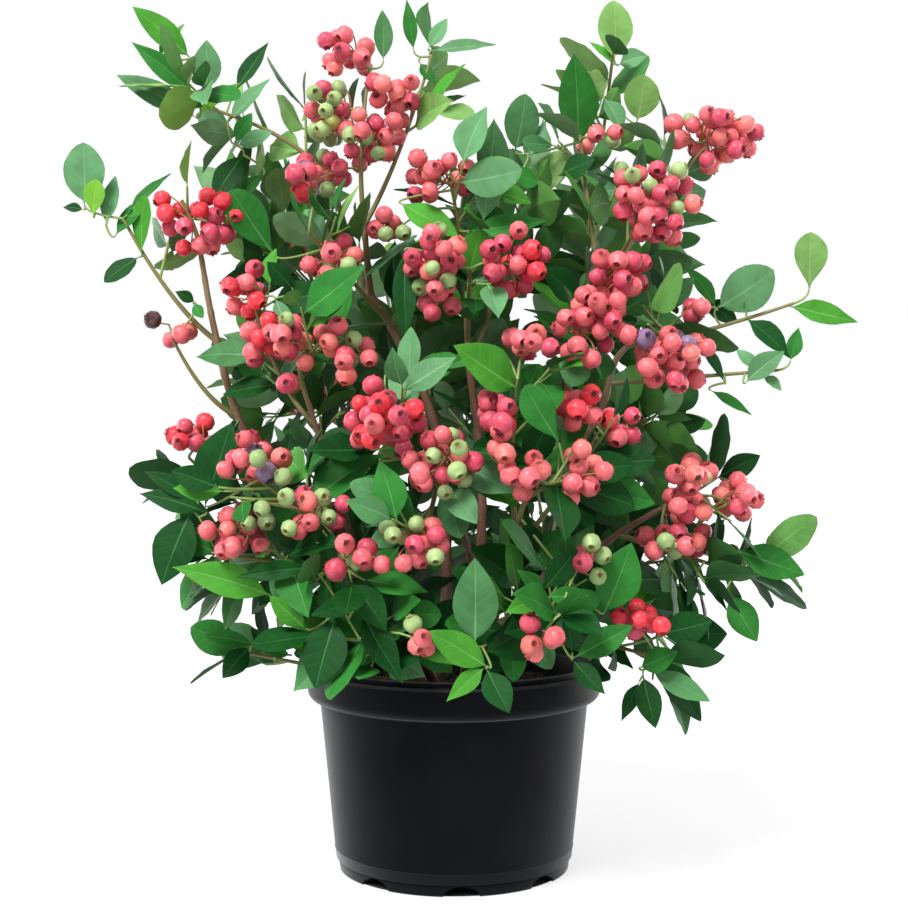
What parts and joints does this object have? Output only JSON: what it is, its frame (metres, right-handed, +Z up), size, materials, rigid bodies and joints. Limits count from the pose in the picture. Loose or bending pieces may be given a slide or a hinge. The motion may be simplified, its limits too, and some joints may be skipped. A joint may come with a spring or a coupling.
{
  "type": "blueberry bush in a pot",
  "caption": "Fruiting blueberry bush with upright canes, leafy sprays and trusses of pink berries, in a round black nursery pot.",
  "frame": {"origin": "middle of the pot's flat underside", "axes": "+Z up along the pot's axis, +X to the right as seen from the side that is seen first, which faces -Y"},
  "size_m": [0.512, 0.4042, 0.5823],
  "materials": {
    "pot_plastic": "moulded charcoal plastic with a soft sheen",
    "potting_mix": "crumbly moist potting mix",
    "bark": "smooth brown to reddish bark",
    "foliage": "satin green leaves with pink berries"
  },
  "bodies": {
    "root": {"pot": "pot_plastic", "potting_mix": "potting_mix", "cane_left": "bark", "cane_crest": "bark", "cane_centre": "bark", "cane_right": "bark", "cane_low_right": "bark", "cane_front_left": "bark", "cane_front_right": "bark", "cane_back_left": "bark", "cane_back_right": "bark", "bough_crest_fork": "bark", "bough_right_fork": "bark", "bough_inner_left": "bark", "bough_centre_front": "bark", "bough_back_low": "bark", "spray_upper_left": "foliage", "spray_crest": "foliage", "spray_crest_right": "foliage", "spray_heart": "foliage", "spray_heart_back": "foliage", "spray_left_shoulder": "foliage", "spray_left_truss": "foliage", "spray_left_shoot": "foliage", "spray_left_spur": "foliage", "spray_left_chain": "foliage", "spray_left_heart": "foliage", "spray_left_side": "foliage", "spray_left_middle": "foliage", "spray_low_left": "foliage", "spray_front_left": "foliage", "spray_front_middle": "foliage", "spray_middle_left": "foliage", "spray_middle": "foliage", "spray_centre": "foliage", "spray_middle_right": "foliage", "spray_front_right": "foliage", "spray_right_heart": "foliage", "spray_right_middle": "foliage", "spray_right_shoulder": "foliage", "spray_right_crest": "foliage", "spray_upper_right": "foliage", "spray_top": "foliage", "spray_right_shoot": "foliage", "spray_right_low_shoot": "foliage", "spray_right_inner": "foliage", "spray_right_truss": "foliage", "spray_right_side": "foliage", "spray_low_right": "foliage", "spray_front_low_right": "foliage", "spray_front_low_left": "foliage", "spray_low_left_twig": "foliage", "spray_back_left": "foliage", "spray_back_left_middle": "foliage", "spray_back_left_low": "foliage", "spray_back_middle": "foliage", "spray_back_low": "foliage", "spray_back_right": "foliage", "spray_back_right_middle": "foliage", "spray_back_right_low": "foliage"}
  },
  "joints": []
}
